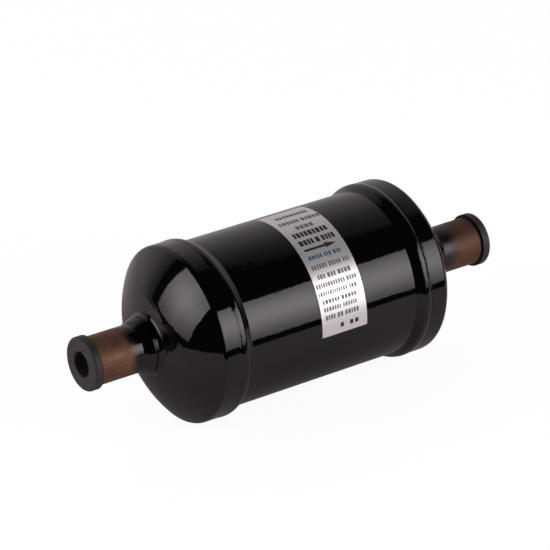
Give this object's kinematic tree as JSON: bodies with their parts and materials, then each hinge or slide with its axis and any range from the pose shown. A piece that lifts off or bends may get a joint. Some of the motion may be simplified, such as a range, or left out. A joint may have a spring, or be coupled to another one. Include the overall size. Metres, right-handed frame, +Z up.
{
  "type": "filter drier",
  "caption": "Welded steel liquid-line filter drier with domed ends, copper solder sockets, rubber dust plugs, a foil label and a spring-loaded solid core.",
  "frame": {"origin": "middle of the shell, on its axis", "axes": "+X along the axis from inlet to outlet, +Z up, +Y to the back"},
  "size_m": [0.1862, 0.0704, 0.0704],
  "materials": {
    "shell_enamel": "gloss black enamel",
    "copper": "dulled copper",
    "plug_rubber": "matt moulded rubber",
    "label_foil": "satin foil label",
    "inner_steel": "plain steel",
    "white_felt": "pressed felt",
    "core_block": "porous moulded block"
  },
  "bodies": {
    "drier": {"shell_tube": "shell_enamel", "inlet_end_cap": "shell_enamel", "outlet_end_cap": "shell_enamel", "inlet_seam_weld": "shell_enamel", "outlet_seam_weld": "shell_enamel", "inlet_connector": "copper", "outlet_connector": "copper", "inlet_braze_fillet": "copper", "outlet_braze_fillet": "copper", "rating_label": "label_foil", "core_spring": "inner_steel", "spring_plate": "inner_steel", "inlet_felt_ring": "white_felt", "desiccant_core": "core_block", "outlet_felt_ring": "white_felt", "filter_pad": "white_felt", "wire_screen": "inner_steel", "perforated_plate": "inner_steel"},
    "inlet_plug": {"inlet_dust_plug": "plug_rubber"},
    "outlet_plug": {"outlet_dust_plug": "plug_rubber"}
  },
  "joints": [
    {"name": "inlet_plug_pull", "type": "slide", "parent": "drier", "child": "inlet_plug", "axis": [-1, 0, 0], "range_m": [0, 0.05]},
    {"name": "outlet_plug_pull", "type": "slide", "parent": "drier", "child": "outlet_plug", "axis": [1, 0, 0], "range_m": [0, 0.05]}
  ]
}
